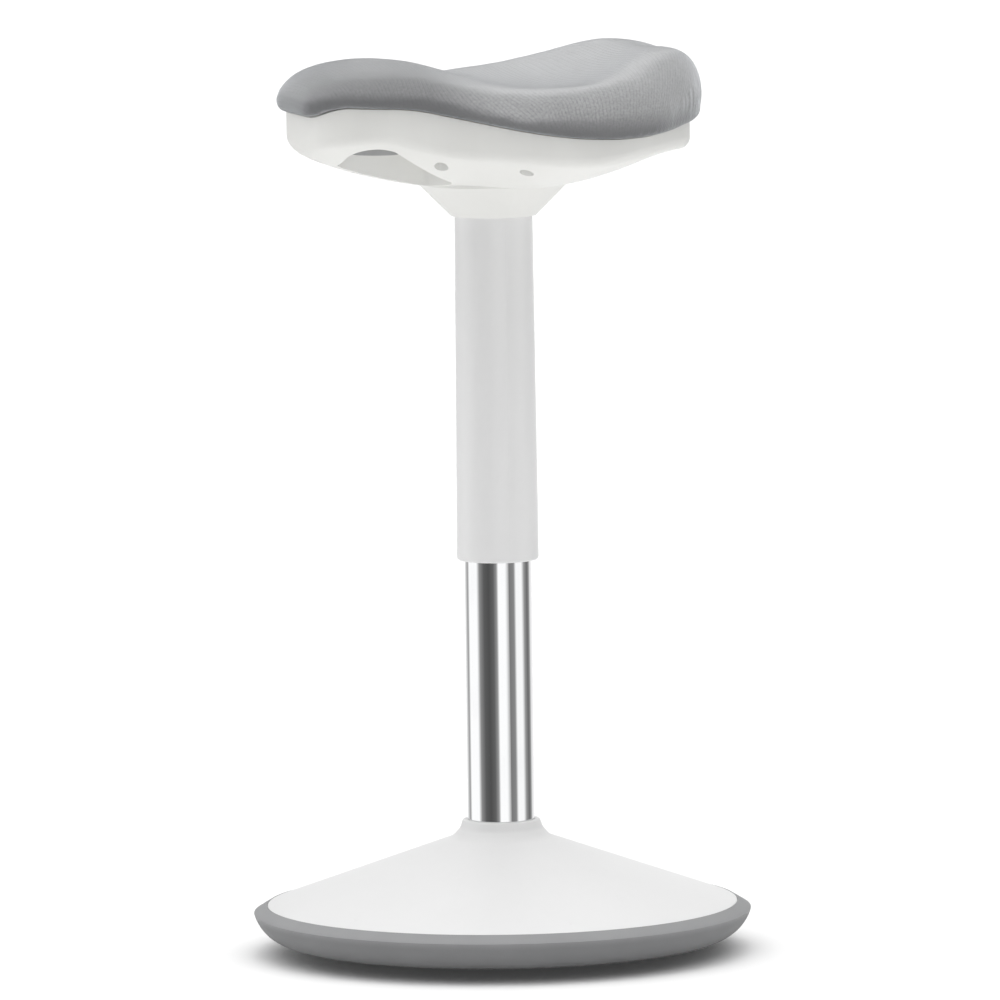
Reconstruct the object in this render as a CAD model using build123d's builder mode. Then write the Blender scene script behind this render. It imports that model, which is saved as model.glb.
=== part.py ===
"""Tilting stool: a padded saddle seat on a gas lift column over a weighted base that rocks on the floor.

Millimetres, +Z up, the floor at z = 0 and the column on the Z axis. The seat's nose points to -Y.
"""

import os
from math import asin, cos, pi, radians, sin, sqrt

from build123d import *

os.makedirs("parts", exist_ok=True)

# Clearances
FIT = 0.1
RUNNING = 0.06
SNUG = 0.05
SOFT_GAP = 0.4
HOLE_GAP = 0.3

# Rocking base
ROCKER_RADIUS = 1200.0
CONTACT_RADIUS = 60.0
RIM_RADIUS = 186.0
RIM_WIDTH = 10.2
RIM_LIP = 0.7
KNUCKLE_RADIUS = 30.0
KNUCKLE_TURN = 75.0
SOLE_THICKNESS = 4.5
PAN_THICKNESS = 4.0
PAN_WALL = 4.0
COVER_EDGE_HEIGHT = 37.0
COVER_SLOPE = 0.36
COVER_WALL = 3.0
SKIRT_DEPTH = 10.0
COLLAR_WIDTH = 6.0
COLLAR_TOP_WIDTH = 3.7
COLLAR_HEIGHT = 12.8
COLLAR_STEP = 6.5
NECK_FLARE = 5.5
WEIGHT_TOP = 31.0
WEIGHT_INSET = 54.0
WEIGHT_GAP = 4.0
HUB_WALL = 5.0
HUB_DEPTH = 17.0
HUB_HEIGHT = 44.0
HUB_FLOOR = 6.0
HUB_LEDGE = 5.0
FLANGE_MARGIN = 18.0
FLANGE_THICKNESS = 6.0

# Column
TUBE_RADIUS = 25.0
TUBE_WALL = 2.0
TUBE_LENGTH = 439.0
END_PLATE_INSET = 4.0
END_PLATE_THICKNESS = 6.0
BUSH_LENGTH = 74.0
RACE_HEIGHT = 2.0
RACE_MARGIN = 3.0
ROD_RADIUS = 5.0
ROD_LENGTH = 400.0
ROD_TAIL = 2.0
SHOULDER_WIDTH = 3.0
SHOULDER_HEIGHT = 5.0
STUB_RADIUS = 4.0
CLIP_THICKNESS = 1.2
CLIP_WIDTH = 4.5
CLIP_MOUTH = 4.0
GROOVE_DEPTH = 0.9
BUMP_HEIGHT = 20.0
PISTON_HEIGHT = 12.0
SEAL_HEIGHT = 4.0
SEAL_DEPTH = 2.0
CYLINDER_RADIUS = 14.0
CYLINDER_WALL = 2.0
CYLINDER_LENGTH = 345.0
CYLINDER_HEAD = 12.0
TAPER_LENGTH = 30.0
TAPER_DEPTH = 2.5
GLAND_HEIGHT = 15.0
GLAND_INSET = 2.0
VALVE_RADIUS = 3.5
VALVE_GAP = 0.2
VALVE_ROOM = 6.0
SLEEVE_GAP = 1.6
SLEEVE_WALL = 2.4
SLEEVE_TAPER = 1.5
SLEEVE_LENGTH = 276.0
SLEEVE_ENGAGEMENT = 18.0
SLEEVE_ROUND = 2.2
GUIDE_RING_HEIGHT = 19.5
GUIDE_RING_STEP = 1.4
GUIDE_RING_INSET = 2.0

# Seat plan, taken at the outside of the shell
NOSE_Y = -150.0
NOSE_HALF = 78.0
WAIST_Y = -58.0
WAIST_HALF = 80.0
SIDE_HALF = 143.0
SIDE_FRONT_Y = 4.0
SIDE_REAR_Y = 70.0
REAR_Y = 143.0
REAR_HALF = 62.0
NOSE_CORNER = 54.0
WAIST_CORNER = 60.0
SIDE_FRONT_CORNER = 50.0
SIDE_REAR_CORNER = 80.0
REAR_CORNER = 120.0

# Seam between cushion and shell, seen from the side: level over the nose, falling in front, a dip behind
SEAT_LEVEL = 611.0
SEAM_CREST_Y = -140.0
SEAM_CREST_RISE = 30.5
SEAM_CREST_RADIUS = 25.0
SEAM_SHOULDER_Y = -88.0
SEAM_SHOULDER_RISE = 29.0
SEAM_SHOULDER_RADIUS = 150.0
SEAM_DIP_Y = 40.0
SEAM_DIP_RADIUS = 400.0
SEAM_FRONT_SLOPE = 0.9
SEAM_REAR_SLOPE = 0.139

# Cushion: heights of its crown above the seat level, on the axis and towards the sides
CUSHION_OVERHANG = 8.0
NOSE_CROWN_Y = -100.0
NOSE_CROWN = 61.0
NOSE_FALL = 18.0
BOWL_Y = 25.0
BOWL_CROWN = 35.0
REAR_CROWN = 71.0
NOSE_SIDE_FALL = 43.0
BOWL_SIDE_RISE = 15.0
REAR_SIDE_RISE = 38.0
CUSHION_TOP_ROUND = 27.0
CUSHION_DRAWN_IN = 6.0

# Seat shell: a hull whose keel rises to both ends, a funnel round the sleeve, finger pockets and grips
SHELL_WALL = 3.0
SHELL_EDGE_ROUND = 9.0
KEEL_DEPTH = 39.0
KEEL_Y = 25.0
KEEL_NOSE_RISE = 31.0
KEEL_NOSE_CURVE = 2.4
KEEL_REAR_RISE = 31.0
KEEL_REAR_CURVE = 1.1
NOSE_BELLY = 55.0
REAR_BELLY = 32.0
HULL_MARGIN = 22.0
HULL_BLEND = 30.0
FORM_SPANS = 8
FUNNEL_OVERLAP = 5.0
FUNNEL_HEIGHT = 24.0
FUNNEL_FLARE = 24.0
FUNNEL_NECK = 8.0
POCKET_WALL = 2.5
POCKET_RIM = 8.0
POCKET_NOSE_RIM = 22.0
POCKET_INNER_X = 17.0
POCKET_SIDE = 4.0
POCKET_END_X = 44.0
POCKET_END_Y = -44.0
POCKET_HEEL_Y = -57.0
POCKET_RISE = 14.0
POCKET_END_DROP = 8.0
POCKET_CORNER = 26.0
GRIP_INNER_X = 20.0
GRIP_OUTER_X = 60.0
GRIP_HEEL_Y = 56.0
GRIP_FRONT_Y = 42.0
GRIP_CORNER_Y = 52.0
GRIP_REAR_Y = 92.0
GRIP_DROP = 9.0
GRIP_CORNER = 12.0
INNER_CORNER = 6.0
BOARD_THICKNESS = 10.0
BOARD_INSET = 8.0
BOSS_RADIUS = 6.5
RECESS_RADIUS = 5.2
RECESS_DEPTH = 8.0

# Seat plate and height release
PLATE_DROP = 21.0
PLATE_THICKNESS = 4.0
PLATE_HALF_X = 48.0
PLATE_FRONT_Y = -34.0
PLATE_REAR_Y = 20.0
SOCKET_WALL = 6.0
LUG_GAP = 1.0
LUG_WIDTH = 4.0
LUG_HALF_Y = 8.0
LUG_HEIGHT = 6.0
LEVER_LIFT = 6.0
LEVER_THICKNESS = 6.0
LEVER_HALF = 8.0
LEVER_PIVOT_Y = -44.0
LEVER_END_Y = 6.0
CRANK_RUN = 26.0
CRANK_GAP = 4.0
PADDLE_RAISE = 10.0
PADDLE_MARGIN = 4.0
PADDLE_ROUND = 9.0
PADDLE_SIDE = 1.0
LEVER_ROUND = 2.0
PIN_RADIUS = 2.5
PIVOT_WALL = 2.5

# Fasteners
WEIGHT_BOLT_CIRCLE = 60.0
WEIGHT_BOLT_RADIUS = 4.0
WEIGHT_BOLT_HEX = 7.2
WEIGHT_BOLT_HEAD = 5.5
WEIGHT_BOLT_BITE = 15.0
PAN_SCREW_INSET = 15.0
PAN_SCREW_RADIUS = 2.5
PAN_SCREW_HEAD_RADIUS = 5.0
PAN_SCREW_TIP = 7.0
COVER_SCREW_INSET = 17.8
COVER_SCREW_HEAD_RADIUS = 3.8
COVER_SCREW_TIP = 5.0
COVER_POST_RADIUS = 5.0
PAD_RADIUS = 6.0
PAD_RISE = 1.5
SCREW_RADIUS = 2.0
SCREW_HEAD = 1.6
HEAD_DEPTH = 2.5
HOLE_SPARE = 1.0
PLATE_BOLT_X = 38.0
PLATE_BOLT_FRONT_Y = -22.0
PLATE_BOLT_REAR_Y = 10.0
PLATE_BOLT_RADIUS = 3.0
PLATE_BOLT_HEX = 5.5
PLATE_BOLT_HEAD = 3.5
SPACER_RADIUS = 6.5
SHELL_SCREW_HEAD_RADIUS = 4.2
SHELL_SCREW_HEAD = 2.4
BOARD_BITE = 6.0
NOSE_SCREW_INSET = 12.0
WAIST_SCREW_INSET = 12.0
WAIST_SCREW_Y = -62.0
SIDE_SCREW_X = 108.0
SIDE_SCREW_Y = -9.0
REAR_SCREW_X = 66.0
REAR_SCREW_INSET = 36.0

# Derived: base
COVER_RADIUS = RIM_RADIUS - RIM_WIDTH
DOME_CENTRE = sqrt(ROCKER_RADIUS**2 - CONTACT_RADIUS**2)
KNUCKLE_R = RIM_RADIUS - KNUCKLE_RADIUS * sin(radians(KNUCKLE_TURN))
KNUCKLE_SINE = KNUCKLE_R / (ROCKER_RADIUS - KNUCKLE_RADIUS)
KNUCKLE_Z = DOME_CENTRE - (ROCKER_RADIUS - KNUCKLE_RADIUS) * cos(asin(KNUCKLE_SINE))
SOLE_EDGE = COVER_RADIUS + 2 * FIT
PAN_OUT = SOLE_THICKNESS + FIT
PAN_IN = PAN_OUT + PAN_THICKNESS
PAN_INNER = COVER_RADIUS - PAN_WALL
PAN_TOP = COVER_EDGE_HEIGHT - SKIRT_DEPTH
WEIGHT_BED = PAN_IN + FIT
COVER_SCREW_CIRCLE = COVER_RADIUS - COVER_SCREW_INSET
WEIGHT_OUTER = COVER_SCREW_CIRCLE - WEIGHT_INSET
PAN_SCREW_CIRCLE = WEIGHT_OUTER - PAN_SCREW_INSET
HUB_RADIUS = TUBE_RADIUS + HUB_WALL
HUB_BOTTOM = WEIGHT_TOP - HUB_DEPTH
FLANGE_TOP = WEIGHT_TOP + FLANGE_THICKNESS
WEIGHT_INNER = HUB_RADIUS + WEIGHT_GAP
COVER_INNER = COVER_RADIUS - COVER_WALL
COVER_BORE = TUBE_RADIUS + 3 * FIT
COLLAR_RADIUS = TUBE_RADIUS + COLLAR_WIDTH
NECK_R = COLLAR_RADIUS + NECK_FLARE
CONE_DROP = COVER_WALL * sqrt(1 + COVER_SLOPE**2)

# Derived: column
TUBE_INNER = TUBE_RADIUS - TUBE_WALL
TUBE_BOTTOM = HUB_BOTTOM + HUB_FLOOR
TUBE_TOP = TUBE_BOTTOM + TUBE_LENGTH
END_PLATE_BOTTOM = TUBE_BOTTOM + END_PLATE_INSET
RACE_BOTTOM = END_PLATE_BOTTOM + END_PLATE_THICKNESS
RACE_RADIUS = TUBE_INNER - RACE_MARGIN
THRUST_BOTTOM = RACE_BOTTOM + RACE_HEIGHT + SNUG
UPPER_BOTTOM = THRUST_BOTTOM + RACE_HEIGHT + SNUG
SHOULDER = UPPER_BOTTOM + RACE_HEIGHT + SNUG
SHOULDER_TOP = SHOULDER + SHOULDER_HEIGHT
ROD_BOTTOM = TUBE_BOTTOM - ROD_TAIL
PISTON_BOTTOM = ROD_BOTTOM + ROD_LENGTH
PISTON_TOP = PISTON_BOTTOM + PISTON_HEIGHT
CLIP_TOP = END_PLATE_BOTTOM - 2 * FIT
CLIP_BOTTOM = CLIP_TOP - CLIP_THICKNESS
GROOVE_RADIUS = ROD_RADIUS - GROOVE_DEPTH
BORE = CYLINDER_RADIUS - CYLINDER_WALL
SEAL_BOTTOM = PISTON_BOTTOM + (PISTON_HEIGHT - SEAL_HEIGHT) / 2
SEAL_TOP = SEAL_BOTTOM + SEAL_HEIGHT

# Derived: seat
PLATE_TOP = SEAT_LEVEL - PLATE_DROP
PLATE_BOTTOM = PLATE_TOP - PLATE_THICKNESS
TAPER_BOTTOM = PLATE_TOP - TAPER_LENGTH
TAPER_TOP_RADIUS = CYLINDER_RADIUS - TAPER_DEPTH
SOCKET_RADIUS = CYLINDER_RADIUS + SOCKET_WALL
CYLINDER_BOTTOM = PLATE_TOP - CYLINDER_LENGTH
CHAMBER_TOP = TAPER_BOTTOM - CYLINDER_HEAD
VALVE_BORE = VALVE_RADIUS + RUNNING
LEVER_BOTTOM = PLATE_TOP + LEVER_LIFT
LEVER_Z = LEVER_BOTTOM + LEVER_THICKNESS / 2
PADDLE_BOTTOM = LEVER_BOTTOM + PADDLE_RAISE
LUG_INNER = LEVER_HALF + LUG_GAP
LUG_OUTER = LUG_INNER + LUG_WIDTH
SEAM_CREST_Z = SEAT_LEVEL + SEAM_CREST_RISE
KEEL_Z = SEAT_LEVEL - KEEL_DEPTH
POCKET_ROOF = SEAT_LEVEL + POCKET_RISE
POCKET_END_ROOF = SEAT_LEVEL - POCKET_END_DROP
GRIP_ROOF = SEAT_LEVEL - GRIP_DROP
POCKET_OUTER_X = NOSE_HALF - POCKET_RIM
POCKET_FRONT_Y = NOSE_Y + POCKET_NOSE_RIM
POCKET_REAR_Y = POCKET_FRONT_Y + POCKET_CORNER + POCKET_SIDE
PADDLE_OUTER_X = POCKET_OUTER_X - PADDLE_MARGIN
PADDLE_FRONT_Y = POCKET_FRONT_Y + PADDLE_MARGIN
PADDLE_CORNER = POCKET_CORNER - PADDLE_MARGIN
PADDLE_REAR_Y = PADDLE_FRONT_Y + PADDLE_CORNER + PADDLE_SIDE + PADDLE_ROUND
CRANK_END_Y = PADDLE_REAR_Y + CRANK_GAP
CRANK_START_Y = CRANK_END_Y + CRANK_RUN
SLEEVE_BORE = TUBE_RADIUS + SLEEVE_GAP
SLEEVE_TOP_RADIUS = SLEEVE_BORE + SLEEVE_WALL
SLEEVE_BOTTOM_RADIUS = SLEEVE_TOP_RADIUS + SLEEVE_TAPER
FUNNEL_TOP = KEEL_Z + FUNNEL_OVERLAP
FUNNEL_BOTTOM = FUNNEL_TOP - FUNNEL_HEIGHT
FUNNEL_BOTTOM_RADIUS = SLEEVE_TOP_RADIUS + SHELL_WALL
FUNNEL_TOP_RADIUS = FUNNEL_BOTTOM_RADIUS + FUNNEL_FLARE
SLEEVE_TOP = FUNNEL_BOTTOM + SLEEVE_ENGAGEMENT
SLEEVE_BOTTOM = SLEEVE_TOP - SLEEVE_LENGTH
RING_RADIUS = SLEEVE_BORE + GUIDE_RING_STEP
RING_BOTTOM = SLEEVE_BOTTOM + GUIDE_RING_INSET
RING_TOP = RING_BOTTOM + GUIDE_RING_HEIGHT
HIGH = SEAT_LEVEL + 3 * NOSE_CROWN
REACH = SIDE_HALF + REAR_Y
LOW = SEAT_LEVEL - REACH


def dome(depth, r):
    """Height at radius r of the rocker's sphere moved inward by depth."""
    return DOME_CENTRE - sqrt((ROCKER_RADIUS - depth) ** 2 - r**2)


def knuckle(depth, r):
    """Height at radius r of the rounded edge moved inward by depth."""
    return KNUCKLE_Z - sqrt((KNUCKLE_RADIUS - depth) ** 2 - (r - KNUCKLE_R) ** 2)


def bowl_line(depth, end_r, inner_r=0.0):
    """Draws dome and rounded edge, moved inward by depth, from inner_r out to end_r."""
    r1 = (ROCKER_RADIUS - depth) * KNUCKLE_SINE
    z1 = dome(depth, r1)
    half = (inner_r + r1) / 2
    ThreePointArc((inner_r, dome(depth, inner_r)), (half, dome(depth, half)), (r1, z1))
    middle = (r1 + end_r) / 2
    ThreePointArc((r1, z1), (middle, knuckle(depth, middle)), (end_r, knuckle(depth, end_r)))


def blend(value, start, end):
    """Rises smoothly from 0 at start to 1 at end."""
    share = min(max((value - start) / (end - start), 0.0), 1.0)
    return (1 - cos(pi * share)) / 2


def hull(y):
    """Half width, height on the axis and height at the half width of the shell's underside at y."""
    turn = blend(y, WAIST_Y - HULL_BLEND, SIDE_FRONT_Y + HULL_BLEND)
    half = HULL_MARGIN + NOSE_HALF + (SIDE_HALF - NOSE_HALF) * turn
    if y < KEEL_Y:
        keel = KEEL_Z + KEEL_NOSE_RISE * ((KEEL_Y - y) / (KEEL_Y - NOSE_Y)) ** KEEL_NOSE_CURVE
    else:
        keel = KEEL_Z + KEEL_REAR_RISE * ((y - KEEL_Y) / (REAR_Y - KEEL_Y)) ** KEEL_REAR_CURVE
    return half, keel, keel + NOSE_BELLY + (REAR_BELLY - NOSE_BELLY) * turn


def hull_height(x, y):
    """Height of the shell's underside at x, y."""
    half, keel, edge = hull(y)
    radius = (half**2 + (edge - keel) ** 2) / (2 * (edge - keel))
    return keel + radius - sqrt(radius**2 - x**2)


def crown(y):
    """Half width, height on the axis and height at the half width of the cushion's top at y."""
    front = NOSE_Y - CUSHION_OVERHANG
    rear = REAR_Y + CUSHION_OVERHANG
    middle = SEAT_LEVEL + NOSE_CROWN
    if y < NOSE_CROWN_Y:
        middle -= NOSE_FALL * ((NOSE_CROWN_Y - y) / (NOSE_CROWN_Y - front)) ** 2
    middle += (BOWL_CROWN - NOSE_CROWN) * blend(y, NOSE_CROWN_Y, BOWL_Y)
    middle += (REAR_CROWN - BOWL_CROWN) * blend(y, BOWL_Y, rear)
    side = (BOWL_SIDE_RISE + NOSE_SIDE_FALL) * blend(y, NOSE_CROWN_Y, BOWL_Y) - NOSE_SIDE_FALL
    side += (REAR_SIDE_RISE - BOWL_SIDE_RISE) * blend(y, BOWL_Y, rear)
    return SIDE_HALF + HULL_MARGIN, middle, middle + side


def seat_outline(grow):
    """Draws the seat's plan, moved outward by grow."""
    right = [
        (NOSE_HALF, NOSE_Y),
        (WAIST_HALF, WAIST_Y),
        (SIDE_HALF, SIDE_FRONT_Y),
        (SIDE_HALF, SIDE_REAR_Y),
        (REAR_HALF, REAR_Y),
    ]
    rounds = [NOSE_CORNER, WAIST_CORNER, SIDE_FRONT_CORNER, SIDE_REAR_CORNER, REAR_CORNER]
    left = [(-x, y) for x, y in reversed(right)]
    with BuildLine() as plan:
        FilletPolyline(right + left, radius=rounds + rounds[::-1], close=True)
    make_face(plan.edges())
    if grow != 0:
        offset(amount=grow)


def seam_region(lift, above):
    """Draws, seen from the side, what lies above or below the seam moved up by lift."""
    front = (-REACH, SEAM_CREST_Z - SEAM_FRONT_SLOPE * (REACH + SEAM_CREST_Y) + lift)
    crest = (SEAM_CREST_Y, SEAM_CREST_Z + lift)
    shoulder = (SEAM_SHOULDER_Y, SEAT_LEVEL + SEAM_SHOULDER_RISE + lift)
    dip = (SEAM_DIP_Y, SEAT_LEVEL + lift)
    rear = (REACH, SEAT_LEVEL + SEAM_REAR_SLOPE * (REACH - SEAM_DIP_Y) + lift)
    rounds = [SEAM_CREST_RADIUS, SEAM_SHOULDER_RADIUS, SEAM_DIP_RADIUS]
    far = HIGH if above else LOW
    with BuildLine() as side_view:
        FilletPolyline(front, crest, shoulder, dip, rear, radius=rounds)
        Polyline(rear, (REACH, far), (-REACH, far), front)
    make_face(side_view.edges())


def cut_at_seam(lift, above):
    """Keeps what lies above or below the seam moved up by lift."""
    with BuildSketch(Plane.YZ) as side_view:
        seam_region(lift, above)
    extrude(side_view.sketch, amount=REACH, both=True, mode=Mode.INTERSECT)


def cut_to_loft(form, lift, far):
    """Keeps what lies between far and the surface of a form, hull or crown, moved up by lift."""
    start = NOSE_Y - HULL_MARGIN
    step = (REAR_Y - NOSE_Y + 2 * HULL_MARGIN) / FORM_SPANS
    sections = []
    for i in range(FORM_SPANS + 1):
        y = start + i * step
        half, middle, edge = form(y)
        with BuildSketch(Plane(origin=(0, y, lift), x_dir=(1, 0, 0), z_dir=(0, -1, 0))) as section:
            with BuildLine():
                ThreePointArc((-half, edge), (0, middle), (half, edge))
                Polyline((half, edge), (half, far), (-half, far), (-half, edge))
            make_face()
        sections.append(section.sketch)
    loft(sections, mode=Mode.INTERSECT)


def ring_places(count, radius, first=0.0):
    """Evenly spaced places on a circle about the column."""
    angles = [radians(first + 360.0 * i / count) for i in range(count)]
    return [(radius * cos(a), radius * sin(a)) for a in angles]


def both_sides(x, y):
    """A place and its mirror image."""
    return [(x, y), (-x, y)]


def pegs(bottom, top, radius, places, mode=Mode.ADD):
    """Upright round pegs, or holes, at the given places."""
    with BuildSketch(Plane.XY.offset(bottom)) as spots:
        with Locations(*places):
            Circle(radius)
    extrude(spots.sketch, amount=top - bottom, mode=mode)


def hex_heads(bottom, top, radius, places):
    """Upright hexagonal heads at the given places."""
    with BuildSketch(Plane.XY.offset(bottom)) as spots:
        with Locations(*places):
            RegularPolygon(radius, 6)
    extrude(spots.sketch, amount=top - bottom)


def washer(bottom, top, inner, outer):
    """A plain ring about the column."""
    with BuildSketch(Plane.XY.offset(bottom)) as annulus:
        Circle(outer)
        Circle(inner, mode=Mode.SUBTRACT)
    extrude(annulus.sketch, amount=top - bottom)


def turned(points, mode=Mode.ADD):
    """A solid turned about the column from a profile of straight lines."""
    with BuildSketch(Plane.XZ) as profile:
        with BuildLine():
            Polyline(points, close=True)
        make_face()
    revolve(profile.sketch, axis=Axis.Z, mode=mode)


def crossbar(y, z, radius, half, mode=Mode.ADD):
    """A round bar, or bore, along X through y, z."""
    with BuildSketch(Plane.YZ) as spot:
        with Locations((y, z)):
            Circle(radius)
    extrude(spot.sketch, amount=half, both=True, mode=mode)


def save(name, builder):
    """Names a finished solid and writes it."""
    builder.part.label = name
    export_step(builder.part, "parts/" + name + ".step")


WEIGHT_BOLTS = ring_places(4, WEIGHT_BOLT_CIRCLE, 45.0)
PAN_SCREWS = ring_places(4, PAN_SCREW_CIRCLE)
COVER_SCREWS = ring_places(6, COVER_SCREW_CIRCLE)
PLATE_BOLTS = both_sides(PLATE_BOLT_X, PLATE_BOLT_FRONT_Y) + both_sides(PLATE_BOLT_X, PLATE_BOLT_REAR_Y)
SHELL_SCREWS = (
    [(0.0, NOSE_Y + NOSE_SCREW_INSET)]
    + both_sides(WAIST_HALF - WAIST_SCREW_INSET, WAIST_SCREW_Y)
    + both_sides(SIDE_SCREW_X, SIDE_SCREW_Y)
    + both_sides(REAR_SCREW_X, REAR_Y - REAR_SCREW_INSET)
)

# Rocker sole: rubber bowl with the rim, flat only where it stands
with BuildPart() as rocker_sole:
    with BuildSketch(Plane.XZ):
        with BuildLine():
            Line((0, 0), (CONTACT_RADIUS, 0))
            bowl_line(0, RIM_RADIUS, CONTACT_RADIUS)
            Polyline(
                (RIM_RADIUS, knuckle(0, RIM_RADIUS)),
                (SOLE_EDGE + RIM_LIP, COVER_EDGE_HEIGHT),
                (SOLE_EDGE, COVER_EDGE_HEIGHT),
                (SOLE_EDGE, knuckle(SOLE_THICKNESS, SOLE_EDGE)),
            )
            bowl_line(SOLE_THICKNESS, SOLE_EDGE)
            Line((0, dome(SOLE_THICKNESS, 0)), (0, 0))
        make_face()
    revolve(axis=Axis.Z)
save("rocker_sole", rocker_sole)

# Base pan: stiff dish inside the sole, with pads for the cover screws
PAD_TOP = dome(PAN_IN, COVER_SCREW_CIRCLE) + PAD_RISE
COVER_HEAD_TOP = dome(PAN_OUT, COVER_SCREW_CIRCLE) + HEAD_DEPTH
PAN_HEAD_TOP = dome(PAN_OUT, PAN_SCREW_CIRCLE) + HEAD_DEPTH
with BuildPart() as base_pan:
    with BuildSketch(Plane.XZ):
        with BuildLine():
            bowl_line(PAN_OUT, COVER_RADIUS)
            Polyline(
                (COVER_RADIUS, knuckle(PAN_OUT, COVER_RADIUS)),
                (COVER_RADIUS, PAN_TOP),
                (PAN_INNER, PAN_TOP),
                (PAN_INNER, knuckle(PAN_IN, PAN_INNER)),
            )
            bowl_line(PAN_IN, PAN_INNER)
            Line((0, dome(PAN_IN, 0)), (0, dome(PAN_OUT, 0)))
        make_face()
    revolve(axis=Axis.Z)
    pegs(COVER_HEAD_TOP, PAD_TOP, PAD_RADIUS, COVER_SCREWS)
    pegs(0, COVER_HEAD_TOP, COVER_SCREW_HEAD_RADIUS + HOLE_GAP, COVER_SCREWS, Mode.SUBTRACT)
    pegs(0, PAD_TOP, SCREW_RADIUS + HOLE_GAP, COVER_SCREWS, Mode.SUBTRACT)
    pegs(0, PAN_HEAD_TOP, PAN_SCREW_HEAD_RADIUS + HOLE_GAP, PAN_SCREWS, Mode.SUBTRACT)
    pegs(0, WEIGHT_TOP, PAN_SCREW_RADIUS + HOLE_GAP, PAN_SCREWS, Mode.SUBTRACT)
save("base_pan", base_pan)

# Counterweight: cast ring bedded in the pan
with BuildPart() as counterweight:
    with BuildSketch(Plane.XZ):
        with BuildLine():
            middle_r = (WEIGHT_INNER + WEIGHT_OUTER) / 2
            ThreePointArc(
                (WEIGHT_INNER, dome(WEIGHT_BED, WEIGHT_INNER)),
                (middle_r, dome(WEIGHT_BED, middle_r)),
                (WEIGHT_OUTER, dome(WEIGHT_BED, WEIGHT_OUTER)),
            )
            Polyline(
                (WEIGHT_OUTER, dome(WEIGHT_BED, WEIGHT_OUTER)),
                (WEIGHT_OUTER, WEIGHT_TOP),
                (WEIGHT_INNER, WEIGHT_TOP),
                (WEIGHT_INNER, dome(WEIGHT_BED, WEIGHT_INNER)),
            )
        make_face()
    revolve(axis=Axis.Z)
    bolt_end = WEIGHT_TOP - WEIGHT_BOLT_BITE - HOLE_SPARE
    pegs(bolt_end, WEIGHT_TOP, WEIGHT_BOLT_RADIUS + SNUG, WEIGHT_BOLTS, Mode.SUBTRACT)
    screw_end = WEIGHT_TOP - PAN_SCREW_TIP + HOLE_SPARE
    pegs(0, screw_end, PAN_SCREW_RADIUS + SNUG, PAN_SCREWS, Mode.SUBTRACT)
save("counterweight", counterweight)

with BuildPart() as pan_screws:
    pegs(PAN_HEAD_TOP - SCREW_HEAD, PAN_HEAD_TOP, PAN_SCREW_HEAD_RADIUS, PAN_SCREWS)
    pegs(PAN_HEAD_TOP, WEIGHT_TOP - PAN_SCREW_TIP, PAN_SCREW_RADIUS, PAN_SCREWS)
save("pan_screws", pan_screws)

# Socket hub: flanged steel socket that holds the column tube
with BuildPart() as socket_hub:
    turned(
        [
            (TUBE_RADIUS - HUB_LEDGE, HUB_BOTTOM),
            (HUB_RADIUS, HUB_BOTTOM),
            (HUB_RADIUS, WEIGHT_TOP),
            (WEIGHT_BOLT_CIRCLE + FLANGE_MARGIN, WEIGHT_TOP),
            (WEIGHT_BOLT_CIRCLE + FLANGE_MARGIN, FLANGE_TOP),
            (HUB_RADIUS, FLANGE_TOP),
            (HUB_RADIUS, WEIGHT_TOP + HUB_HEIGHT),
            (TUBE_RADIUS + SNUG, WEIGHT_TOP + HUB_HEIGHT),
            (TUBE_RADIUS + SNUG, TUBE_BOTTOM),
            (TUBE_RADIUS - HUB_LEDGE, TUBE_BOTTOM),
        ]
    )
    pegs(WEIGHT_TOP, FLANGE_TOP, WEIGHT_BOLT_RADIUS + HOLE_GAP, WEIGHT_BOLTS, Mode.SUBTRACT)
save("socket_hub", socket_hub)

with BuildPart() as weight_bolts:
    hex_heads(FLANGE_TOP, FLANGE_TOP + WEIGHT_BOLT_HEAD, WEIGHT_BOLT_HEX, WEIGHT_BOLTS)
    pegs(WEIGHT_TOP - WEIGHT_BOLT_BITE, FLANGE_TOP, WEIGHT_BOLT_RADIUS, WEIGHT_BOLTS)
save("weight_bolts", weight_bolts)

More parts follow.
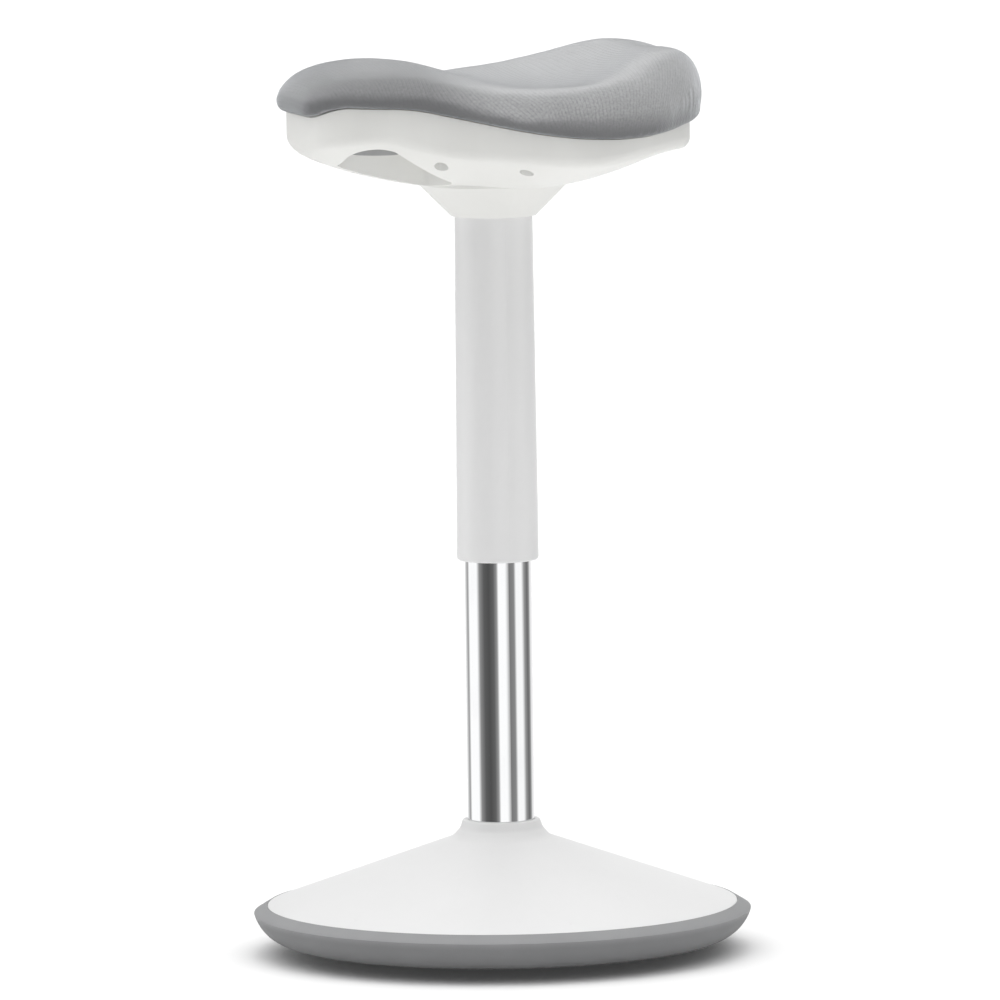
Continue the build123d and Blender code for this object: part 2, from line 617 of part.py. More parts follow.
# Base cover: white cone with a short collar round the tube
NECK_Z = COVER_EDGE_HEIGHT + COVER_SLOPE * (COVER_RADIUS - NECK_R)
COLLAR_TOP = NECK_Z + COLLAR_HEIGHT
CONE_INSIDE = COVER_EDGE_HEIGHT - CONE_DROP + COVER_SLOPE * COVER_WALL
POST_TOP = CONE_INSIDE + COVER_SLOPE * (COVER_INNER - COVER_SCREW_CIRCLE) + CONE_DROP / 2
with BuildPart() as base_cover:
    with BuildSketch(Plane.XZ):
        with BuildLine():
            FilletPolyline(
                (COVER_RADIUS, PAN_TOP + FIT),
                (COVER_RADIUS, COVER_EDGE_HEIGHT),
                (NECK_R, NECK_Z),
                (COLLAR_RADIUS, COLLAR_TOP - COLLAR_STEP),
                (TUBE_RADIUS + COLLAR_TOP_WIDTH, COLLAR_TOP),
                (COVER_BORE, COLLAR_TOP),
                radius=[COVER_WALL / 4, COVER_WALL * 4, COVER_WALL * 2, COVER_WALL / 2],
            )
            Polyline(
                (COVER_BORE, COLLAR_TOP),
                (COVER_BORE, COLLAR_TOP - COLLAR_STEP - COVER_WALL),
                (NECK_R, CONE_INSIDE + COVER_SLOPE * (COVER_INNER - NECK_R)),
                (COVER_INNER, CONE_INSIDE),
                (COVER_INNER, PAN_TOP + FIT),
                (COVER_RADIUS, PAN_TOP + FIT),
            )
        make_face()
    revolve(axis=Axis.Z)
    pegs(PAD_TOP + FIT, POST_TOP, COVER_POST_RADIUS, COVER_SCREWS)
    pilot_end = POST_TOP - COVER_SCREW_TIP + HOLE_SPARE
    pegs(PAD_TOP, pilot_end, SCREW_RADIUS + SNUG, COVER_SCREWS, Mode.SUBTRACT)
save("base_cover", base_cover)

with BuildPart() as cover_screws:
    pegs(COVER_HEAD_TOP - SCREW_HEAD, COVER_HEAD_TOP, COVER_SCREW_HEAD_RADIUS, COVER_SCREWS)
    pegs(COVER_HEAD_TOP, POST_TOP - COVER_SCREW_TIP, SCREW_RADIUS, COVER_SCREWS)
save("cover_screws", cover_screws)

# Column tube and what is fixed in it
with BuildPart() as column_tube:
    washer(TUBE_BOTTOM, TUBE_TOP, TUBE_INNER, TUBE_RADIUS)
save("column_tube", column_tube)

with BuildPart() as tube_end_plate:
    washer(END_PLATE_BOTTOM, RACE_BOTTOM, ROD_RADIUS + RUNNING, TUBE_INNER - SNUG)
save("tube_end_plate", tube_end_plate)

with BuildPart() as guide_bush:
    washer(TUBE_TOP - BUSH_LENGTH, TUBE_TOP, CYLINDER_RADIUS + RUNNING, TUBE_INNER - SNUG)
save("guide_bush", guide_bush)

# Thrust bearing that the piston rod turns on
with BuildPart() as lower_race:
    washer(RACE_BOTTOM, RACE_BOTTOM + RACE_HEIGHT, ROD_RADIUS + HOLE_GAP, RACE_RADIUS)
save("lower_race", lower_race)

with BuildPart() as thrust_ring:
    washer(THRUST_BOTTOM, THRUST_BOTTOM + RACE_HEIGHT, ROD_RADIUS + HOLE_GAP, RACE_RADIUS)
save("thrust_ring", thrust_ring)

with BuildPart() as upper_race:
    washer(UPPER_BOTTOM, UPPER_BOTTOM + RACE_HEIGHT, ROD_RADIUS + SNUG, RACE_RADIUS)
save("upper_race", upper_race)

# Piston rod, held under the end plate by a clip
with BuildPart() as piston_rod:
    turned(
        [
            (0, ROD_BOTTOM),
            (ROD_RADIUS, ROD_BOTTOM),
            (ROD_RADIUS, CLIP_BOTTOM - SNUG),
            (GROOVE_RADIUS, CLIP_BOTTOM - SNUG),
            (GROOVE_RADIUS, CLIP_TOP + SNUG),
            (ROD_RADIUS, CLIP_TOP + SNUG),
            (ROD_RADIUS, SHOULDER),
            (ROD_RADIUS + SHOULDER_WIDTH, SHOULDER),
            (ROD_RADIUS + SHOULDER_WIDTH, SHOULDER_TOP),
            (ROD_RADIUS, SHOULDER_TOP),
            (ROD_RADIUS, PISTON_BOTTOM),
            (STUB_RADIUS, PISTON_BOTTOM),
            (STUB_RADIUS, PISTON_TOP + HOLE_SPARE),
            (0, PISTON_TOP + HOLE_SPARE),
        ]
    )
save("piston_rod", piston_rod)

with BuildPart() as retaining_clip:
    with BuildSketch(Plane.XY.offset(CLIP_BOTTOM)):
        Circle(GROOVE_RADIUS + CLIP_WIDTH)
        Circle(GROOVE_RADIUS + SNUG, mode=Mode.SUBTRACT)
        with Locations((0, GROOVE_RADIUS + CLIP_WIDTH / 2)):
            Rectangle(CLIP_MOUTH, 2 * CLIP_WIDTH, mode=Mode.SUBTRACT)
    extrude(amount=CLIP_THICKNESS)
save("retaining_clip", retaining_clip)

with BuildPart() as bump_stop:
    washer(SHOULDER_TOP, SHOULDER_TOP + BUMP_HEIGHT, ROD_RADIUS + SNUG, CYLINDER_RADIUS)
save("bump_stop", bump_stop)

# Piston and seal inside the gas cylinder
with BuildPart() as piston:
    turned(
        [
            (STUB_RADIUS + SNUG, PISTON_BOTTOM),
            (BORE - 2 * FIT, PISTON_BOTTOM),
            (BORE - 2 * FIT, SEAL_BOTTOM),
            (BORE - SEAL_DEPTH, SEAL_BOTTOM),
            (BORE - SEAL_DEPTH, SEAL_TOP),
            (BORE - 2 * FIT, SEAL_TOP),
            (BORE - 2 * FIT, PISTON_TOP),
            (STUB_RADIUS + SNUG, PISTON_TOP),
        ]
    )
save("piston", piston)

with BuildPart() as piston_seal:
    washer(SEAL_BOTTOM + SNUG, SEAL_TOP - SNUG, BORE - SEAL_DEPTH + SNUG, BORE - RUNNING)
save("piston_seal", piston_seal)

# Gas cylinder, tapered at its top into the seat plate
with BuildPart() as gas_cylinder:
    turned(
        [
            (BORE, CYLINDER_BOTTOM),
            (CYLINDER_RADIUS, CYLINDER_BOTTOM),
            (CYLINDER_RADIUS, TAPER_BOTTOM),
            (TAPER_TOP_RADIUS, PLATE_TOP),
            (VALVE_BORE, PLATE_TOP),
            (VALVE_BORE, CHAMBER_TOP),
            (BORE, CHAMBER_TOP),
        ]
    )
save("gas_cylinder", gas_cylinder)

GLAND_BOTTOM = CYLINDER_BOTTOM + GLAND_INSET
with BuildPart() as cylinder_gland:
    washer(GLAND_BOTTOM, GLAND_BOTTOM + GLAND_HEIGHT, ROD_RADIUS + RUNNING, BORE - SNUG)
save("cylinder_gland", cylinder_gland)

with BuildPart() as valve_pin:
    pegs(CHAMBER_TOP + VALVE_ROOM, LEVER_BOTTOM - VALVE_GAP, VALVE_RADIUS, [(0, 0)])
save("valve_pin", valve_pin)

# Outer sleeve, held in the shell's funnel, with a guide ring that runs on the tube
with BuildPart() as outer_sleeve:
    with BuildSketch(Plane.XZ):
        with BuildLine():
            FilletPolyline(
                (RING_RADIUS, SLEEVE_BOTTOM),
                (SLEEVE_BOTTOM_RADIUS, SLEEVE_BOTTOM),
                (SLEEVE_TOP_RADIUS, FUNNEL_BOTTOM),
                (SLEEVE_TOP_RADIUS, SLEEVE_TOP),
                (SLEEVE_BORE, SLEEVE_TOP),
                (SLEEVE_BORE, RING_TOP),
                (RING_RADIUS, RING_TOP),
                (RING_RADIUS, SLEEVE_BOTTOM),
                radius=[0, SLEEVE_ROUND, 0, 0, 0, 0, 0],
            )
        make_face()
    revolve(axis=Axis.Z)
save("outer_sleeve", outer_sleeve)

with BuildPart() as sleeve_guide:
    washer(RING_BOTTOM, RING_TOP - SNUG, TUBE_RADIUS + RUNNING, RING_RADIUS - SNUG)
save("sleeve_guide", sleeve_guide)

# Seat plate: pressed plate with the taper socket and the lugs of the release lever
with BuildPart() as seat_plate:
    with BuildSketch(Plane.XY.offset(PLATE_BOTTOM)):
        with Locations((0, (PLATE_FRONT_Y + PLATE_REAR_Y) / 2)):
            RectangleRounded(2 * PLATE_HALF_X, PLATE_REAR_Y - PLATE_FRONT_Y, SPACER_RADIUS)
        with Locations((0, LEVER_PIVOT_Y + LUG_HALF_Y)):
            Rectangle(2 * LUG_OUTER, 4 * LUG_HALF_Y)
    extrude(amount=PLATE_THICKNESS)
    pegs(TAPER_BOTTOM, PLATE_TOP, SOCKET_RADIUS, [(0, 0)])
    with BuildSketch(Plane.XY.offset(PLATE_TOP)):
        with Locations(*both_sides((LUG_INNER + LUG_OUTER) / 2, LEVER_PIVOT_Y)):
            Rectangle(LUG_WIDTH, 2 * LUG_HALF_Y)
    extrude(amount=LEVER_Z + LUG_HEIGHT - PLATE_TOP)
    taper = [
        (0, TAPER_BOTTOM),
        (CYLINDER_RADIUS + SNUG, TAPER_BOTTOM),
        (TAPER_TOP_RADIUS + SNUG, PLATE_TOP),
        (0, PLATE_TOP),
    ]
    turned(taper, Mode.SUBTRACT)
    pegs(PLATE_BOTTOM, PLATE_TOP, PLATE_BOLT_RADIUS + HOLE_GAP, PLATE_BOLTS, Mode.SUBTRACT)
    crossbar(LEVER_PIVOT_Y, LEVER_Z, PIN_RADIUS + SNUG, LUG_OUTER, Mode.SUBTRACT)
save("seat_plate", seat_plate)

with BuildPart() as lever_pin:
    crossbar(LEVER_PIVOT_Y, LEVER_Z, PIN_RADIUS, LUG_OUTER)
save("lever_pin", lever_pin)

# Release lever: a stem over the valve, cranked up to a paddle in each finger pocket
with BuildPart() as release_lever:
    with BuildSketch(Plane.XY.offset(LEVER_BOTTOM)):
        right = [
            (LEVER_HALF, LEVER_END_Y),
            (LEVER_HALF, PADDLE_REAR_Y),
            (PADDLE_OUTER_X, PADDLE_REAR_Y),
            (PADDLE_OUTER_X, PADDLE_FRONT_Y),
        ]
        rounds = [LEVER_ROUND, INNER_CORNER, PADDLE_ROUND, PADDLE_CORNER]
        left = [(-x, y) for x, y in reversed(right)]
        with BuildLine():
            FilletPolyline(right + left, radius=rounds + rounds[::-1], close=True)
        make_face()
    extrude(amount=PADDLE_RAISE + LEVER_THICKNESS)
    with BuildSketch(Plane.YZ):
        with BuildLine():
            lower = [
                (LEVER_END_Y, LEVER_BOTTOM),
                (CRANK_START_Y, LEVER_BOTTOM),
                (CRANK_END_Y, PADDLE_BOTTOM),
                (PADDLE_FRONT_Y, PADDLE_BOTTOM),
            ]
            upper = [(y, z + LEVER_THICKNESS) for y, z in reversed(lower)]
            Polyline(lower + upper, close=True)
        make_face()
    extrude(amount=PADDLE_OUTER_X, both=True, mode=Mode.INTERSECT)
    crossbar(LEVER_PIVOT_Y, LEVER_Z, PIN_RADIUS + PIVOT_WALL, LEVER_HALF)
    crossbar(LEVER_PIVOT_Y, LEVER_Z, PIN_RADIUS + RUNNING, LEVER_HALF, Mode.SUBTRACT)
save("release_lever", release_lever)

# Seat board: moulded plywood that follows the seam, with blind holes for bolts and screws
with BuildPart() as board_holes:
    pegs(LOW, HIGH, PLATE_BOLT_RADIUS + SNUG, PLATE_BOLTS)
    pegs(LOW, HIGH, SCREW_RADIUS + SNUG, SHELL_SCREWS)
    cut_at_seam(BOARD_BITE + HOLE_SPARE - BOARD_THICKNESS, False)

with BuildPart() as seat_board:
    with BuildSketch(Plane.XY.offset(LOW)):
        seat_outline(-BOARD_INSET)
    extrude(amount=HIGH - LOW)
    cut_at_seam(-BOARD_THICKNESS, True)
    cut_at_seam(0, False)
    add(board_holes.part, mode=Mode.SUBTRACT)
save("seat_board", seat_board)

with BuildPart() as plate_spacers:
    pegs(PLATE_TOP, HIGH, SPACER_RADIUS, PLATE_BOLTS)
    pegs(PLATE_TOP, HIGH, PLATE_BOLT_RADIUS + HOLE_GAP, PLATE_BOLTS, Mode.SUBTRACT)
    cut_at_seam(-BOARD_THICKNESS - SNUG, False)
save("plate_spacers", plate_spacers)

with BuildPart() as plate_bolts:
    hex_heads(PLATE_BOTTOM - PLATE_BOLT_HEAD, PLATE_BOTTOM, PLATE_BOLT_HEX, PLATE_BOLTS)
    pegs(PLATE_BOTTOM, HIGH, PLATE_BOLT_RADIUS, PLATE_BOLTS)
    cut_at_seam(BOARD_BITE - BOARD_THICKNESS, False)
save("plate_bolts", plate_bolts)


def pocket_plan(points, rounds, grow):
    """The plan of one pocket, moved outward by grow."""
    with BuildSketch(Plane.XY.offset(LOW)) as plan:
        with BuildLine():
            FilletPolyline(points, radius=rounds, close=True)
        make_face()
        if grow != 0:
            offset(amount=grow)
    return plan.sketch


def finger_pockets(grow):
    """The two lever pockets under the nose and the two grips behind, moved outward by grow."""
    for side in (1, -1):
        pocket = [
            (side * POCKET_INNER_X, POCKET_FRONT_Y),
            (side * POCKET_OUTER_X, POCKET_FRONT_Y),
            (side * POCKET_OUTER_X, POCKET_REAR_Y),
            (side * POCKET_END_X, POCKET_END_Y),
            (side * POCKET_INNER_X, POCKET_HEEL_Y),
        ]
        rounds = [INNER_CORNER, POCKET_CORNER, GRIP_CORNER, INNER_CORNER, INNER_CORNER]
        extrude(pocket_plan(pocket, rounds, grow), amount=HIGH - LOW)
    with BuildSketch(Plane.YZ) as roof:
        with BuildLine():
            Polyline(
                (-REACH, LOW),
                (-REACH, POCKET_ROOF + grow),
                (POCKET_REAR_Y, POCKET_ROOF + grow),
                (POCKET_END_Y + grow, POCKET_END_ROOF + grow),
                (POCKET_END_Y + grow, LOW),
                close=True,
            )
        make_face()
    extrude(roof.sketch, amount=REACH, both=True, mode=Mode.INTERSECT)
    for side in (1, -1):
        grip = [
            (side * GRIP_INNER_X, GRIP_HEEL_Y),
            (side * POCKET_END_X, GRIP_FRONT_Y),
            (side * GRIP_OUTER_X, GRIP_CORNER_Y),
            (side * GRIP_OUTER_X, GRIP_REAR_Y),
            (side * GRIP_INNER_X, GRIP_REAR_Y),
        ]
        rounds = [INNER_CORNER, INNER_CORNER, GRIP_CORNER, GRIP_CORNER, INNER_CORNER]
        extrude(pocket_plan(grip, rounds, grow), amount=GRIP_ROOF + grow - LOW)


with BuildPart() as pocket_space:
    finger_pockets(0)

with BuildPart() as pocket_blocks:
    finger_pockets(POCKET_WALL)

# What the shell leaves hollow: its inside, less the pocket walls and the screw bosses
with BuildPart() as shell_hollow:
    with BuildSketch(Plane.XY.offset(LOW)):
        seat_outline(-SHELL_WALL)
    extrude(amount=HIGH - LOW)
    cut_to_loft(hull, SHELL_WALL, HIGH)
    fillet(shell_hollow.faces().sort_by(Axis.Z)[0].edges(), SHELL_EDGE_ROUND - SHELL_WALL)
    turned(
        [
            (0, FUNNEL_BOTTOM),
            (SLEEVE_TOP_RADIUS + FIT, FUNNEL_BOTTOM),
            (SLEEVE_TOP_RADIUS + FIT, FUNNEL_BOTTOM + FUNNEL_NECK),
            (FUNNEL_TOP_RADIUS - SHELL_WALL, FUNNEL_TOP + SHELL_WALL),
            (0, FUNNEL_TOP + SHELL_WALL),
        ]
    )
    add(pocket_blocks.part, mode=Mode.SUBTRACT)
    pegs(LOW, HIGH, BOSS_RADIUS, SHELL_SCREWS, Mode.SUBTRACT)

with BuildPart() as board_space:
    with BuildSketch(Plane.XY.offset(LOW)):
        seat_outline(SOFT_GAP - BOARD_INSET)
    extrude(amount=HIGH - LOW)
    cut_at_seam(-BOARD_THICKNESS - SNUG, True)

# Seat shell: white hull with the funnel, pockets and screw recesses
SLOT_LOW = PADDLE_BOTTOM - LEVER_ROUND
SLOT_Y = (PADDLE_FRONT_Y + PADDLE_REAR_Y) / 2
SLOT_LENGTH = PADDLE_REAR_Y - PADDLE_FRONT_Y + 2 * LEVER_ROUND
with BuildPart() as seat_shell:
    with BuildSketch(Plane.XY.offset(LOW)):
        seat_outline(0)
    extrude(amount=HIGH - LOW)
    cut_to_loft(hull, 0, HIGH)
    fillet(seat_shell.faces().sort_by(Axis.Z)[0].edges(), SHELL_EDGE_ROUND)
    cut_at_seam(0, False)
    turned(
        [
            (0, FUNNEL_BOTTOM),
            (FUNNEL_BOTTOM_RADIUS, FUNNEL_BOTTOM),
            (FUNNEL_TOP_RADIUS, FUNNEL_TOP),
            (FUNNEL_TOP_RADIUS, FUNNEL_TOP + SHELL_WALL),
            (0, FUNNEL_TOP + SHELL_WALL),
        ]
    )
    add(shell_hollow.part, mode=Mode.SUBTRACT)
    add(pocket_space.part, mode=Mode.SUBTRACT)
    add(board_space.part, mode=Mode.SUBTRACT)
    for place in SHELL_SCREWS:
        pegs(LOW, hull_height(*place) + RECESS_DEPTH, RECESS_RADIUS, [place], Mode.SUBTRACT)
    pegs(LOW, HIGH, SCREW_RADIUS + HOLE_GAP, SHELL_SCREWS, Mode.SUBTRACT)
    with BuildSketch(Plane.XY.offset(SLOT_LOW)):
        with Locations(*both_sides(POCKET_INNER_X - POCKET_WALL / 2, SLOT_Y)):
            Rectangle(2 * POCKET_WALL, SLOT_LENGTH)
    extrude(amount=POCKET_ROOF - SLOT_LOW, mode=Mode.SUBTRACT)
save("seat_shell", seat_shell)

with BuildPart() as shell_screws:
    for place in SHELL_SCREWS:
        head_top = hull_height(*place) + RECESS_DEPTH
        pegs(head_top - SHELL_SCREW_HEAD, head_top - SNUG, SHELL_SCREW_HEAD_RADIUS, [place])
        pegs(head_top - SNUG, HIGH, SCREW_RADIUS, [place])
    cut_at_seam(BOARD_BITE - BOARD_THICKNESS, False)
save("shell_screws", shell_screws)

# Cushion: crowned saddle pad, drawn in where it meets the shell
with BuildPart() as cushion:
    with BuildSketch(Plane.XY.offset(LOW)):
        seat_outline(CUSHION_OVERHANG)
    extrude(amount=HIGH - LOW)
    cut_to_loft(crown, 0, LOW)
    fillet(cushion.faces().sort_by(Axis.Z)[-1].edges(), CUSHION_TOP_ROUND)
    cut_at_seam(SOFT_GAP, True)
    fillet(cushion.faces().sort_by(Axis.Z)[0].edges(), CUSHION_DRAWN_IN)
save("cushion", cushion)
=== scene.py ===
"""Looks of the tilting stool: knitted cushion, moulded plastic, chrome and rubber, and its studio."""

import math

import bpy
import numpy as np
from bpy.props import FloatProperty, FloatVectorProperty, IntProperty, PointerProperty
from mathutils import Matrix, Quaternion, Vector
from mathutils.bvhtree import BVHTree


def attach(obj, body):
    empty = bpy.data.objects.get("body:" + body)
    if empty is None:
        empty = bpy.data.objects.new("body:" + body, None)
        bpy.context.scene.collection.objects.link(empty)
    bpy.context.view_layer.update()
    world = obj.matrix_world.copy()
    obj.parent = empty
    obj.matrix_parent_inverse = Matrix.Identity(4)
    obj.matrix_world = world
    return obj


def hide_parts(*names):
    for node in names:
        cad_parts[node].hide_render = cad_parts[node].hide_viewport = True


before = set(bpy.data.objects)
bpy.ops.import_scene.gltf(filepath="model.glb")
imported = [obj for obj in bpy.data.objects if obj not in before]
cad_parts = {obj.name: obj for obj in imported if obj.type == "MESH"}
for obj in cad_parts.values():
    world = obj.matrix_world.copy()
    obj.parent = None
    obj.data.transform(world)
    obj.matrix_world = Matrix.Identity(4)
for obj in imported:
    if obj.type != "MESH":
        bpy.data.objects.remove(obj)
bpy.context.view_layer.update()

bl_info = {
    "name": "Tilting stool looks",
    "version": (1, 0, 0),
    "blender": (4, 5, 0),
    "location": "3D View > Sidebar > Stool",
    "description": "Dresses the tilting stool and sets up its studio",
    "category": "Object",
}

MM = 0.001

# Making of the cover: the lower edge that stays put, the rounds of smoothing before and after it swells,
# how far down a face points where the cover is held, and the cloth
HELD_EDGE = 10 * MM
FIRST_SMOOTHING = 10
LAST_SMOOTHING = 24
UNDERSIDE = -0.35
CLOTH = {
    "quality": 6,
    "mass": 0.15,
    "tension_stiffness": 12.0,
    "compression_stiffness": 12.0,
    "shear_stiffness": 6.0,
    "bending_stiffness": 6.0,
    "air_damping": 2.0,
}

# Laying of the knit: how far in from the brim it lies flat, and the tilts over which it turns down
BRIM = 30 * MM
TURN_START = 0.15
TURN_RUN = 0.6

# Painted shade and painted light of the knit: the band above the seam, where shade is painted, and how far up
# its faces may point, the seat's middle line, the nose's part of it, where shade is painted too, and the
# outward leans over which the painted shade and light change
SEAM_INSET = 14 * MM
SEAM_BAND = 24 * MM
SIDE_UP = 0.7
SIDE_RUN = 0.5
SPINE_FRONT = -100 * MM
SPINE_REAR = 60 * MM
NOSE_START = -20 * MM
NOSE_RUN = 60 * MM
NOSE_SHADE = 0.55
NOSE_LEAN = -0.12
CROWN_LEAN = 0.5
LEAN_RUN = 0.35

# Floor and cards, in metres
FLOOR_RADIUS = 40.0
CARD_RADIUS = 0.32
CARD_HEIGHT = 0.84
CARD_FOOT = -0.01

# Camera's sensor, in millimetres
SENSOR_WIDTH = 36.0

# Lights: how narrowly they shine, and how far aside and behind the softboxes stand
OVERHEAD_FOCUS = 4.0
SOFTBOX_FOCUS = 3.0
SOFTBOX_ASIDE = 0.9
SOFTBOX_BEHIND = 0.4

# Brightness of the cards by their turn from the camera, in degrees
CARD_SHADES = (
    (-180, 1.0), (-146, 0.8), (-134, 0.40), (-125, 0.45), (-117, 1.15), (-79, 1.15),
    (-67, 0.30), (-50, 0.12), (-33, 0.09), (-17, 0.14), (-6, 0.35), (0, 1.15),
    (22, 1.15), (29, 0.35), (41, 0.22), (53, 0.30), (61, 1.1), (83, 1.1),
    (96, 0.35), (112, 0.16), (124, 0.30), (134, 0.85), (150, 1.0), (180, 1.0),
)


class CushionSettings(bpy.types.PropertyGroup):
    """Sizes and yarn of the padded seat."""

    voxel: FloatProperty(
        name="Mesh size", description="Edge length of the mesh that swells", default=4 * MM, unit="LENGTH"
    )
    slack: FloatProperty(
        name="Slack", description="How much smaller the cover starts than the pad",
        default=1.5 * MM, unit="LENGTH",
    )
    pressure: FloatProperty(name="Pressure", description="Push of the foam against its cover", default=1.5)
    frames: IntProperty(name="Steps", description="Steps that the foam takes to fill its cover", default=20)
    swell: FloatProperty(
        name="Swell", description="Furthest that the cover may move", default=2.5 * MM, unit="LENGTH"
    )
    # The light yarn also gives the painted light on the crown, and the dark yarn the painted shade at the
    # seam and round the nose
    yarn_dark: FloatVectorProperty(
        name="Dark yarn", description="Colour in the knit's hollows and at its seam",
        subtype="COLOR", default=(0.165, 0.167, 0.172),
    )
    yarn_light: FloatVectorProperty(
        name="Light yarn", description="Colour on the knit's loops and its worn crown",
        subtype="COLOR", default=(0.505, 0.508, 0.513),
    )
    fill: FloatProperty(
        name="Fill", description="How far the smoothed cover is let out again",
        default=1.8 * MM, unit="LENGTH",
    )
    rib: FloatProperty(
        name="Rib", description="Distance between the knit's ribs", default=3.3 * MM, unit="LENGTH"
    )
    stitch: FloatProperty(
        name="Stitch", description="Height of one loop of the knit", default=1.3 * MM, unit="LENGTH"
    )


class PlasticSettings(bpy.types.PropertyGroup):
    """Colours of the moulded and rubber parts."""

    shell: FloatVectorProperty(
        name="Seat shell", description="Warm white of the seat shell",
        subtype="COLOR", default=(0.81, 0.81, 0.785),
    )
    sleeve: FloatVectorProperty(
        name="Sleeve", description="White of the column's sleeve", subtype="COLOR", default=(0.84, 0.84, 0.84)
    )
    cover: FloatVectorProperty(
        name="Base cover", description="White of the base's cone", subtype="COLOR", default=(0.80, 0.80, 0.80)
    )
    rim: FloatVectorProperty(
        name="Rim", description="Grey of the rubber sole", subtype="COLOR", default=(0.265, 0.267, 0.272)
    )
    lever: FloatVectorProperty(
        name="Lever", description="Grey of the release lever", subtype="COLOR", default=(0.44, 0.44, 0.445)
    )
    grain: FloatProperty(
        name="Mould grain", description="Size of the plastic's fine grain", default=0.5 * MM, unit="LENGTH"
    )


class StudioSettings(bpy.types.PropertyGroup):
    """Camera and light."""

    camera_at: FloatVectorProperty(
        name="Camera", description="Place of the camera", subtype="XYZ", unit="LENGTH",
        default=(9.035, -2.936, 1.37),
    )
    aim: FloatVectorProperty(
        name="Aim", description="Point at the middle of the picture", subtype="XYZ", unit="LENGTH",
        default=(0.00065, 0.002, 0.3394),
    )
    lens: FloatProperty(name="Lens", description="Focal length in millimetres", default=461.05)
    roll: FloatProperty(
        name="Roll", description="Turn of the camera about its line of sight",
        subtype="ANGLE", default=math.radians(0.75),
    )
    horizon: FloatProperty(name="Surround", description="Soft light at eye level", default=0.17)
    zenith: FloatProperty(name="Overhead", description="Soft light overhead", default=2.95)
    left: FloatProperty(name="Left softbox", description="Soft light from behind on the left", default=0.6)
    right: FloatProperty(name="Right softbox", description="Soft light from behind on the right", default=0.3)
    floor: FloatProperty(name="Floor", description="Own brightness of the pale floor", default=0.03)


class Value:
    """A value in a finish: arithmetic on it adds Math nodes."""

    def __init__(self, tree, socket):
        self.tree = tree
        self.socket = socket

    def node(self, kind, settings, sockets, output=0):
        """Adds a node, sets it, fills or links its sockets and gives back one of its outputs."""
        made = self.tree.nodes.new("ShaderNode" + kind)
        for name, setting in settings.items():
            if name == "stops":
                while len(made.color_ramp.elements) < len(setting):
                    made.color_ramp.elements.new(1.0)
                for stop, (place, colour) in zip(made.color_ramp.elements, setting):
                    stop.position = place
                    stop.color = colour
            else:
                setattr(made, name, setting)
        for name, value in sockets.items():
            if isinstance(value, Value):
                self.tree.links.new(value.socket, made.inputs[name])
            else:
                made.inputs[name].default_value = value
        return Value(self.tree, made.outputs[output])

    def math(self, operation, *others):
        """One Math node on this value and others."""
        return self.node("Math", {"operation": operation}, dict(enumerate((self,) + others)))

    def __add__(self, other):
        return self.math("ADD", other)

    def __mul__(self, other):
        return self.math("MULTIPLY", other)

    def __sub__(self, other):
        return self.math("SUBTRACT", other)

    def __rsub__(self, other):
        return self.node("Math", {"operation": "SUBTRACT"}, {0: other, 1: self})

    def __truediv__(self, other):
        return self.math("DIVIDE", other)

    def __pow__(self, other):
        return self.math("POWER", other)

    def __neg__(self):
        return self * -1.0

    __radd__ = __add__
    __rmul__ = __mul__

    def step(self, start, end):
        """Rises smoothly from 0 at start to 1 at end."""
        settings = {"interpolation_type": "SMOOTHSTEP"}
        return self.node("MapRange", settings, {"Value": self, "From Min": start, "From Max": end})

    def part(self, axis):
        """One part of a vector."""
        return self.node("SeparateXYZ", {}, {0: self}, axis)

    def noise(self, size, detail=3.0, stretch=(1.0, 1.0, 1.0)):
        """Cloudy variation about 0.5, with patches of that size."""
        scaled = self.node("VectorMath", {"operation": "MULTIPLY"}, {0: self, 1: [s / size for s in stretch]})
        return self.node("TexNoise", {}, {"Vector": scaled, "Scale": 1.0, "Detail": detail})

    def tint(self, dark, light):
        """A colour between two, by this share."""
        return self.node("Mix", {"data_type": "RGBA"}, {0: self, 6: (*dark, 1.0), 7: (*light, 1.0)}, 2)

    def bump(self, strength, depth):
        """A normal from this height."""
        return self.node("Bump", {}, {"Height": self, "Strength": strength, "Distance": depth})


def finish(name, settings):
    """A new material, its shader with fixed values set, and the place on the piece."""
    material = bpy.data.materials.new(name)
    material.use_nodes = True
    tree = material.node_tree
    shader = tree.nodes["Principled BSDF"]
    for socket, value in settings.items():
        shader.inputs[socket].default_value = value
    place = Value(tree, tree.nodes.new("ShaderNodeTexCoord").outputs["Object"])
    return material, shader, place


def feed(shader, **values):
    """Links values to a shader's sockets, named with underscores."""
    for name, value in values.items():
        shader.id_data.links.new(value.socket, shader.inputs[name.replace("_", " ")])


def shaded(colour, factor):
    """A colour made darker or lighter."""
    return tuple(min(1.0, c * factor) for c in colour)


def dress(material, *nodes):
    """Gives a finish to carried-over nodes."""
    for name in nodes:
        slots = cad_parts[name].data.materials
        slots.clear()
        slots.append(material)


def moulded_plastic(name, colour, grain, gloss):
    """Satin moulded plastic with a fine grain, faint flow marks and light scuffs."""
    material, shader, place = finish(name, {"Specular IOR Level": 0.45})
    cloud = place.noise(60 * MM)
    flow = place.noise(9 * MM, 2.0, (1.0, 1.0, 0.25))
    fine = place.noise(grain, 2.0)
    patch = place.noise(22 * MM, 4.0).step(0.63, 0.72)
    scuff = patch * place.noise(1.2 * MM, 2.0, (1.0, 1.0, 0.15)).step(0.52, 0.62)
    shade = cloud * 0.6 + flow * 0.3 - scuff * 0.25
    feed(
        shader,
        Base_Color=shade.tint(shaded(colour, 0.965), shaded(colour, 1.03)),
        Roughness=gloss + (flow - 0.5) * 0.14 + (fine - 0.5) * 0.1 + scuff * 0.12,
        Normal=(fine * 0.7 + flow * 0.3).bump(0.10, 0.15 * MM),
    )
    return material


